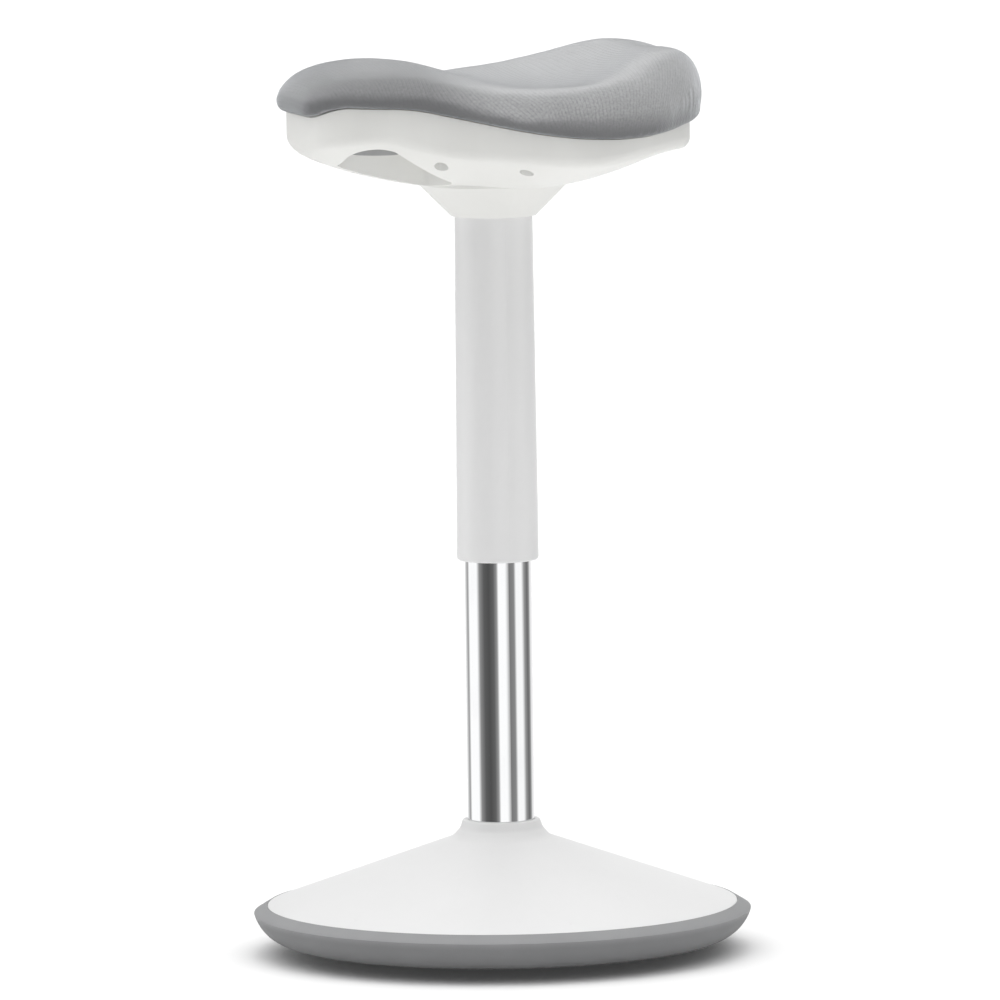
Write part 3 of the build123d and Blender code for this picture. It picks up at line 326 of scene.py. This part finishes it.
def rim_rubber(colour):
    """Matt rubber: fine grain, painted light along the top of the rim, and floor scuffs low on it."""
    material, shader, place = finish("rim_rubber", {"Specular IOR Level": 0.3})
    cloud = place.noise(35 * MM, 4.0)
    fine = place.noise(0.7 * MM, 3.0)
    low = 1 - place.part(2).step(6 * MM, 20 * MM)
    # Painted light: the rim is made paler towards its top, where the chamfer faces the overhead light
    painted_rim_light = place.part(2).step(26 * MM, 34 * MM)
    scuff = place.noise(5 * MM, 4.0, (1.0, 1.0, 2.5)).step(0.55, 0.68) * low
    shade = cloud * 0.5 + fine * 0.3 + scuff * 0.35 + painted_rim_light * 0.9 - 0.35
    feed(
        shader,
        Base_Color=shade.tint(shaded(colour, 0.84), shaded(colour, 1.22)),
        Roughness=0.62 + (cloud - 0.5) * 0.2 + scuff * 0.12,
        Normal=(fine + scuff * 0.5).bump(0.25, 0.2 * MM),
    )
    return material


def polished_chrome():
    """Bright plating with the faint drawn lines and wipe marks of a used column."""
    material, shader, place = finish("polished_chrome", {"Metallic": 1.0})
    drawn = place.noise(1.1 * MM, 2.0, (1.0, 1.0, 0.004))
    wipe = place.noise(28 * MM, 3.0, (1.0, 1.0, 0.5)).step(0.5, 0.75)
    ring = place.noise(2.2 * MM, 2.0, (0.01, 0.01, 1.0)).step(0.6, 0.75)
    feed(
        shader,
        Base_Color=(wipe * 0.5 + drawn * 0.3).tint((0.86, 0.865, 0.87), (0.80, 0.805, 0.815)),
        Roughness=0.035 + wipe * 0.05 + (drawn - 0.5) * 0.02 + ring * 0.02,
        Normal=drawn.bump(0.02, 0.05 * MM),
    )
    return material


def machined_metal(name, colour, roughness, lay):
    """Bare or plated metal with tool marks along the given lay."""
    material, shader, place = finish(name, {"Metallic": 1.0})
    marks = place.noise(0.8 * MM, 3.0, lay)
    cloud = place.noise(14 * MM, 3.0)
    feed(
        shader,
        Base_Color=(marks * 0.5 + cloud * 0.5).tint(shaded(colour, 0.82), shaded(colour, 1.12)),
        Roughness=roughness + (marks - 0.5) * 0.18 + (cloud - 0.5) * 0.12,
        Normal=marks.bump(0.15, 0.1 * MM),
    )
    return material


def cast_iron():
    """Rough sand-cast iron."""
    material, shader, place = finish("cast_iron", {"Metallic": 0.7})
    sand = place.noise(2.4 * MM, 5.0)
    rust = place.noise(30 * MM, 4.0).step(0.55, 0.75)
    feed(
        shader,
        Base_Color=(sand * 0.6 + rust * 0.4).tint((0.055, 0.055, 0.058), (0.19, 0.15, 0.125)),
        Roughness=0.6 + (sand - 0.5) * 0.3 + rust * 0.15,
        Normal=sand.bump(0.6, 0.6 * MM),
    )
    return material


def inner_moulding(name, colour, roughness, depth):
    """Plain technical plastic or rubber inside the stool, with a dull grain."""
    material, shader, place = finish(name, {"Specular IOR Level": 0.4})
    fine = place.noise(0.9 * MM, 3.0)
    cloud = place.noise(18 * MM, 3.0)
    feed(
        shader,
        Base_Color=(fine * 0.5 + cloud * 0.5).tint(shaded(colour, 0.8), shaded(colour, 1.2)),
        Roughness=roughness + (fine - 0.5) * 0.15 + (cloud - 0.5) * 0.15,
        Normal=fine.bump(0.2, depth),
    )
    return material


def plywood():
    """Beech plies seen on edge, with long grain on the faces."""
    material, shader, place = finish("plywood", {"Specular IOR Level": 0.3})
    grain = place.noise(3.0 * MM, 4.0, (1.0, 0.08, 1.0))
    plies = (place.part(2) * (2 * math.pi / (2.5 * MM))).math("SINE").step(-0.4, 0.4)
    feed(
        shader,
        Base_Color=(grain * 0.6 + plies * 0.4).tint((0.40, 0.27, 0.15), (0.66, 0.50, 0.33)),
        Roughness=0.6 + (grain - 0.5) * 0.2,
        Normal=grain.bump(0.2, 0.2 * MM),
    )
    return material


def grey_knit(settings):
    """Ribbed knit: columns of slanted loops, melange yarn, a soft sheen along the brim, painted light on the
    crown, and painted shade in its hollows, at the seam and round the nose.
    """
    fixed = {
        "Sheen Weight": 1.0,
        "Sheen Roughness": 0.32,
        "Sheen Tint": (0.94, 0.97, 1.0, 1.0),
        "Specular IOR Level": 0.2,
    }
    material, shader, place = finish("grey_knit", fixed)
    cloth = place.node("UVMap", {"uv_map": "knit"}, {})
    across = cloth.part(1)
    along = cloth.part(0)
    rib = (across * (2 * math.pi / settings.rib)).math("COSINE") * 0.5 + 0.5
    wale = (across * (2.0 / settings.rib)).math("FRACT") * 2.0 - 1.0
    lean = wale.math("ABSOLUTE")
    loop = (along / settings.stitch + lean * 0.45).math("FRACT") * 2.0 - 1.0
    bulge = (1 - lean ** 2.0) * (1 - loop.math("ABSOLUTE") ** 2.0)
    melange = place.noise(1.6 * MM, 2.0).step(0.2, 0.8)
    worn = place.noise(45 * MM, 3.0)
    # Painted light on the crown: faces that lean inward and up are made lighter
    crown = place.node("Attribute", {"attribute_name": "crown"}, {}, 2)
    # Painted shade: darker in the band just above the seam and on the nose's outward flanks
    tuck = place.node("Attribute", {"attribute_name": "tuck"}, {}, 2)
    # Painted shade: the knit's hollows between loops and ribs are coloured darker than its loops
    height = rib * 0.45 + bulge * 0.55
    # The crown gets lighter by painted light; the seam band and nose flanks get darker by painted shade
    shade = (height * 0.28 + melange * 0.35 + worn * 0.16 + 0.19 + crown * 0.42) * (1 - tuck)
    feed(
        shader,
        Base_Color=shade.tint(settings.yarn_dark, settings.yarn_light),
        Roughness=0.86 + (melange - 0.5) * 0.16 - height * 0.05,
        Normal=(height + melange * 0.25).bump(0.55, 0.35 * MM),
    )
    return material


def only(piece):
    """Selects one piece alone and makes it active."""
    bpy.ops.object.select_all(action="DESELECT")
    piece.select_set(True)
    bpy.context.view_layer.objects.active = piece


def apply_modifier(piece, kind, **settings):
    """Adds a modifier and applies it."""
    made = piece.modifiers.new(kind.lower(), kind)
    for name, value in settings.items():
        setattr(made, name, value)
    only(piece)
    bpy.ops.object.modifier_apply(modifier=made.name)


def points(mesh):
    """A mesh's points as rows."""
    rows = np.zeros(len(mesh.vertices) * 3)
    mesh.vertices.foreach_get("co", rows)
    return rows.reshape(-1, 3)


def place_points(mesh, rows):
    """Puts a mesh's points where the rows say."""
    mesh.vertices.foreach_set("co", rows.ravel())
    mesh.update()


def outward(mesh):
    """A mesh's outward directions as rows."""
    rows = np.zeros(len(mesh.vertices) * 3)
    mesh.vertices.foreach_get("normal", rows)
    return rows.reshape(-1, 3)


def let_out(mesh, distance):
    """Moves each point of a mesh outward by its own distance."""
    place_points(mesh, points(mesh) + outward(mesh) * distance[:, None])


def ease(shares):
    """Shares held between none and all, eased at both ends."""
    shares = np.clip(shares, 0.0, 1.0)
    return shares * shares * (3 - 2 * shares)


def free_share(piece):
    """How free each point of the cover is, none at its lower edge and all above, also as a vertex group."""
    tree = BVHTree.FromObject(piece, bpy.context.evaluated_depsgraph_get())
    group = piece.vertex_groups.new(name="free")
    rows = points(piece.data)
    shares = np.ones(len(rows))
    for i, place in enumerate(rows):
        below = tree.ray_cast(Vector((place[0], place[1], 0.0)), Vector((0, 0, 1)))[0]
        if below is not None:
            shares[i] = ease((place[2] - below.z) / HELD_EDGE)
        group.add([i], float(shares[i]), "REPLACE")
    return shares


def swell_cover(piece, settings):
    """Blows the cover up from its slack shape with the foam's pressure, held under the pad."""
    mesh = piece.data
    slack = points(mesh)
    held = piece.vertex_groups.new(name="held")
    under = np.nonzero(outward(mesh)[:, 2] < UNDERSIDE)[0]
    held.add([int(i) for i in under], 1.0, "REPLACE")
    cover = piece.modifiers.new("cover", "CLOTH")
    for name, value in CLOTH.items():
        setattr(cover.settings, name, value)
    cover.settings.vertex_group_mass = held.name
    cover.settings.use_pressure = True
    cover.settings.uniform_pressure_force = settings.pressure
    cover.settings.effector_weights.gravity = 0.0
    cover.collision_settings.use_collision = False
    cover.point_cache.frame_start = 1
    cover.point_cache.frame_end = settings.frames
    for step in range(1, settings.frames + 1):
        bpy.context.scene.frame_set(step)
    only(piece)
    bpy.ops.object.modifier_apply(modifier=cover.name)
    bpy.context.scene.frame_set(1)
    moved = points(mesh) - slack
    length = np.linalg.norm(moved, axis=1, keepdims=True)
    place_points(mesh, slack + moved * np.minimum(1.0, settings.swell / np.maximum(length, 1e-9)))


def lay_knit(piece):
    """Lays the knit flat over the seat's plan and lets it out down the sides, in a UV map."""
    mesh = piece.data
    rows = points(mesh)
    ways = outward(mesh)
    tree = BVHTree.FromObject(piece, bpy.context.evaluated_depsgraph_get())
    flat = rows[:, :2].copy()
    high = rows[:, 2].max() + 1.0
    for i, (place, way) in enumerate(zip(rows, ways)):
        side = math.hypot(way[0], way[1])
        if side <= TURN_START:
            continue
        out = way[:2] / side
        start = place[:2] - out * BRIM
        hit = tree.ray_cast(Vector((start[0], start[1], high)), Vector((0, 0, -1)))[0]
        if hit is not None and hit.z > place[2]:
            flat[i] += out * (hit.z - place[2]) * ease((side - TURN_START) / TURN_RUN)
    corners = np.zeros(len(mesh.loops), dtype=np.int32)
    mesh.loops.foreach_get("vertex_index", corners)
    knit = mesh.uv_layers.new(name="knit")
    knit.uv.foreach_set("vector", flat[corners].astype(np.float32).ravel())


def note(mesh, name, shares):
    """Keeps a share for each point of a mesh."""
    kept = mesh.attributes.new(name, "FLOAT", "POINT")
    kept.data.foreach_set("value", shares.astype(np.float32))


def mark_cover(piece):
    """Notes where the knit is lighter, on the crown, by painted light, and where darker, at the seam and
    round the nose, by painted shade.
    """
    mesh = piece.data
    rows = points(mesh)
    ways = outward(mesh)
    tree = BVHTree.FromObject(piece, bpy.context.evaluated_depsgraph_get())
    rise = np.full(len(rows), SEAM_BAND)
    for i in np.nonzero(ways[:, 2] < SIDE_UP)[0]:
        side = math.hypot(ways[i, 0], ways[i, 1])
        start = rows[i, :2] - ways[i, :2] * (SEAM_INSET / max(side, 0.1))
        below = tree.ray_cast(Vector((start[0], start[1], 0.0)), Vector((0, 0, 1)))[0]
        if below is not None:
            rise[i] = rows[i, 2] - below.z
    spine = np.clip(rows[:, 1], SPINE_FRONT, SPINE_REAR)
    out = np.stack((rows[:, 0], rows[:, 1] - spine), axis=1)
    out /= np.maximum(np.linalg.norm(out, axis=1, keepdims=True), MM)
    lean = (ways[:, :2] * out).sum(axis=1)
    # Painted shade in the band above the seam, on faces that point sideways or down
    seam = ease((1.0 - rise / SEAM_BAND) * np.clip((SIDE_UP - ways[:, 2]) / SIDE_RUN, 0.0, 1.0))
    # Painted shade on the nose's flanks that lean outward
    nose = ease((lean - NOSE_LEAN) / LEAN_RUN) * ease((NOSE_START - rows[:, 1]) / NOSE_RUN)
    # Painted light: lighter where faces lean inward, on the crown
    note(mesh, "crown", ease((CROWN_LEAN - lean) / LEAN_RUN))
    # Painted shade of the seam band and the nose's flanks together
    note(mesh, "tuck", 1.0 - (1.0 - seam) * (1.0 - NOSE_SHADE * nose))


class STOOL_OT_base(bpy.types.Operator):
    """Finishes the rocking base"""

    bl_idname = "stool.base"
    bl_label = "Rocking base"

    def execute(self, context):
        plastic = context.scene.stool_plastic
        dress(rim_rubber(plastic.rim), "rocker_sole")
        dress(moulded_plastic("base_white", plastic.cover, plastic.grain, 0.42), "base_cover")
        dress(inner_moulding("pan_plastic", (0.06, 0.06, 0.065), 0.5, 0.2 * MM), "base_pan")
        dress(cast_iron(), "counterweight")
        steel = machined_metal("turned_steel", (0.52, 0.53, 0.54), 0.34, (0.05, 0.05, 1.0))
        dress(steel, "socket_hub", "tube_end_plate", "lower_race", "upper_race", "retaining_clip")
        zinc = machined_metal("zinc_steel", (0.62, 0.63, 0.64), 0.38, (1.0, 1.0, 0.2))
        dress(zinc, "pan_screws", "weight_bolts", "cover_screws", "plate_bolts", "shell_screws")
        return {"FINISHED"}


class STOOL_OT_column(bpy.types.Operator):
    """Finishes the gas lift column"""

    bl_idname = "stool.column"
    bl_label = "Column"

    def execute(self, context):
        plastic = context.scene.stool_plastic
        dress(polished_chrome(), "column_tube", "piston_rod")
        dress(moulded_plastic("sleeve_white", plastic.sleeve, plastic.grain, 0.38), "outer_sleeve")
        acetal = inner_moulding("acetal", (0.72, 0.72, 0.69), 0.4, 0.1 * MM)
        dress(acetal, "guide_bush", "sleeve_guide", "thrust_ring", "cylinder_gland")
        dress(inner_moulding("black_rubber", (0.03, 0.03, 0.03), 0.7, 0.3 * MM), "bump_stop", "piston_seal")
        dress(inner_moulding("black_paint", (0.04, 0.04, 0.04), 0.35, 0.1 * MM), "gas_cylinder")
        dress(machined_metal("turned_alloy", (0.70, 0.71, 0.72), 0.3, (0.05, 0.05, 1.0)), "piston")
        return {"FINISHED"}


class STOOL_OT_seat_frame(bpy.types.Operator):
    """Finishes the seat's shell, board, plate and lever"""

    bl_idname = "stool.seat_frame"
    bl_label = "Seat frame"

    def execute(self, context):
        plastic = context.scene.stool_plastic
        dress(moulded_plastic("shell_white", plastic.shell, plastic.grain, 0.45), "seat_shell")
        dress(moulded_plastic("lever_grey", plastic.lever, plastic.grain, 0.5), "release_lever")
        pressed = machined_metal("pressed_steel", (0.50, 0.51, 0.52), 0.4, (0.15, 1.0, 1.0))
        dress(pressed, "seat_plate", "plate_spacers", "lever_pin", "valve_pin")
        dress(plywood(), "seat_board")
        return {"FINISHED"}


class STOOL_OT_cushion(bpy.types.Operator):
    """Makes the padded saddle cushion in its knitted cover"""

    bl_idname = "stool.cushion"
    bl_label = "Cushion"

    def execute(self, context):
        settings = context.scene.stool_cushion
        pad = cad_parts["cushion"]
        piece = bpy.data.objects.new("saddle_cushion", pad.data.copy())
        context.scene.collection.objects.link(piece)
        only(piece)
        bpy.ops.object.mode_set(mode="EDIT")
        bpy.ops.mesh.select_all(action="SELECT")
        bpy.ops.mesh.remove_doubles(threshold=0.01 * MM)
        bpy.ops.mesh.normals_make_consistent(inside=False)
        bpy.ops.object.mode_set(mode="OBJECT")
        piece.data.remesh_voxel_size = settings.voxel
        bpy.ops.object.voxel_remesh()
        apply_modifier(piece, "SHRINKWRAP", target=pad, wrap_method="NEAREST_SURFACEPOINT")
        free = free_share(piece)
        self.smooth(piece, FIRST_SMOOTHING)
        let_out(piece.data, -settings.slack * free)
        swell_cover(piece, settings)
        self.smooth(piece, LAST_SMOOTHING)
        let_out(piece.data, settings.fill * free)
        apply_modifier(piece, "SUBSURF", levels=1, render_levels=1)
        only(piece)
        bpy.ops.object.shade_smooth()
        lay_knit(piece)
        mark_cover(piece)
        piece.data.materials.clear()
        piece.data.materials.append(grey_knit(settings))
        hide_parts("cushion")
        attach(piece, "seat")
        return {"FINISHED"}

    def smooth(self, piece, rounds):
        """Smooths the cover where it is free."""
        apply_modifier(piece, "SMOOTH", factor=0.5, iterations=rounds, vertex_group="free")


class STOOL_OT_stage(bpy.types.Operator):
    """Sets the pale floor, the soft light and the camera"""

    bl_idname = "stool.stage"
    bl_label = "Studio"

    def execute(self, context):
        studio = context.scene.stool_studio
        context.scene.view_settings.view_transform = "Standard"
        self.floor(studio)
        self.cards(studio)
        self.lights(context, studio)
        self.camera(context, studio)
        return {"FINISHED"}

    def floor(self, studio):
        """A wide pale floor."""
        bpy.ops.object.select_all(action="DESELECT")
        bpy.ops.mesh.primitive_circle_add(
            vertices=96, radius=FLOOR_RADIUS, fill_type="NGON", location=(0, 0, 0)
        )
        floor = bpy.context.active_object
        floor.name = "studio_floor"
        material, shader, place = finish("pale_floor", {"Roughness": 0.9, "Specular IOR Level": 0.0})
        shader.inputs["Emission Color"].default_value = (1.0, 1.0, 1.0, 1.0)
        shader.inputs["Emission Strength"].default_value = studio.floor
        feed(shader, Base_Color=place.noise(0.4).tint((0.90, 0.90, 0.90), (0.93, 0.93, 0.93)))
        floor.data.materials.append(material)

    def cards(self, studio):
        """Bright and dark cards round the column, seen only in what is polished."""
        bpy.ops.object.select_all(action="DESELECT")
        bpy.ops.mesh.primitive_cylinder_add(
            vertices=180, radius=CARD_RADIUS, depth=CARD_HEIGHT, end_fill_type="NOTHING",
            location=(0, 0, CARD_FOOT + CARD_HEIGHT / 2),
        )
        cards = bpy.context.active_object
        cards.name = "studio_cards"
        bpy.ops.object.transform_apply(location=True)
        cards.visible_camera = False
        cards.visible_diffuse = False
        cards.visible_shadow = False
        cards.visible_transmission = False
        material, shader, place = finish("studio_cards", {"Roughness": 1.0, "Specular IOR Level": 0.0})
        shader.inputs["Base Color"].default_value = (0.0, 0.0, 0.0, 1.0)
        shader.inputs["Emission Strength"].default_value = 1.0
        camera_turn = math.atan2(studio.camera_at[1], studio.camera_at[0])
        turn = place.part(1).math("ARCTAN2", place.part(0)) - camera_turn
        share = (turn / (2 * math.pi) + 1.5).math("FRACT")
        stops = [((degrees + 180) / 360, (grey, grey, grey, 1.0)) for degrees, grey in CARD_SHADES]
        feed(shader, Emission_Color=share.node("ValToRGB", {"stops": stops}, {"Fac": share}))
        cards.data.materials.append(material)

    def lights(self, context, studio):
        """Soft white light all round, stronger overhead and from softboxes behind the stool."""
        world = bpy.data.worlds.new("studio")
        world.use_nodes = True
        tree = world.node_tree
        way = Value(tree, tree.nodes.new("ShaderNodeTexCoord").outputs["Generated"])
        rise = way.part(2).math("MAXIMUM", 0.0) ** OVERHEAD_FOCUS
        back = -Vector((studio.camera_at[0], studio.camera_at[1], 0.0)).normalized()
        aside = Vector((-back.y, back.x, 0.0)) * SOFTBOX_ASIDE
        behind = back * SOFTBOX_BEHIND
        strength = studio.horizon + rise * studio.zenith
        for box, power in ((behind + aside, studio.left), (behind - aside, studio.right)):
            facing = way.node("VectorMath", {"operation": "DOT_PRODUCT"}, {0: way, 1: box}, 1)
            strength = strength + facing.math("MAXIMUM", 0.0) ** SOFTBOX_FOCUS * power
        feed(tree.nodes["Background"], Strength=strength)
        tree.nodes["Background"].inputs["Color"].default_value = (1.0, 1.0, 1.0, 1.0)
        context.scene.world = world

    def camera(self, context, studio):
        """A long lens, turned a little about its line of sight."""
        bpy.ops.object.select_all(action="DESELECT")
        bpy.ops.object.camera_add(location=studio.camera_at)
        camera = bpy.context.active_object
        camera.name = "studio_camera"
        camera.data.sensor_width = SENSOR_WIDTH
        camera.data.lens = studio.lens
        camera.data.clip_end = 100.0
        sight = Vector(studio.aim) - Vector(studio.camera_at)
        camera.rotation_mode = "QUATERNION"
        camera.rotation_quaternion = sight.to_track_quat("-Z", "Y") @ Quaternion((0, 0, 1), -studio.roll)
        context.scene.camera = camera


class STOOL_PT_panel(bpy.types.Panel):
    """Lists the stool's pieces"""

    bl_idname = "STOOL_PT_panel"
    bl_label = "Tilting stool"
    bl_space_type = "VIEW_3D"
    bl_region_type = "UI"
    bl_category = "Stool"

    def draw(self, context):
        for step in STEPS:
            self.layout.operator(step.bl_idname)


SETTINGS = {
    "stool_cushion": CushionSettings,
    "stool_plastic": PlasticSettings,
    "stool_studio": StudioSettings,
}
STEPS = (STOOL_OT_base, STOOL_OT_column, STOOL_OT_seat_frame, STOOL_OT_cushion, STOOL_OT_stage)
CLASSES = (*SETTINGS.values(), *STEPS, STOOL_PT_panel)


def register():
    for made in CLASSES:
        bpy.utils.register_class(made)
    for name, group in SETTINGS.items():
        setattr(bpy.types.Scene, name, PointerProperty(type=group))


def unregister():
    for name in SETTINGS:
        delattr(bpy.types.Scene, name)
    for made in reversed(CLASSES):
        bpy.utils.unregister_class(made)


def main():
    register()
    bpy.ops.stool.base()
    bpy.ops.stool.column()
    bpy.ops.stool.seat_frame()
    bpy.ops.stool.cushion()
    bpy.ops.stool.stage()


if __name__ == "__main__":
    main()
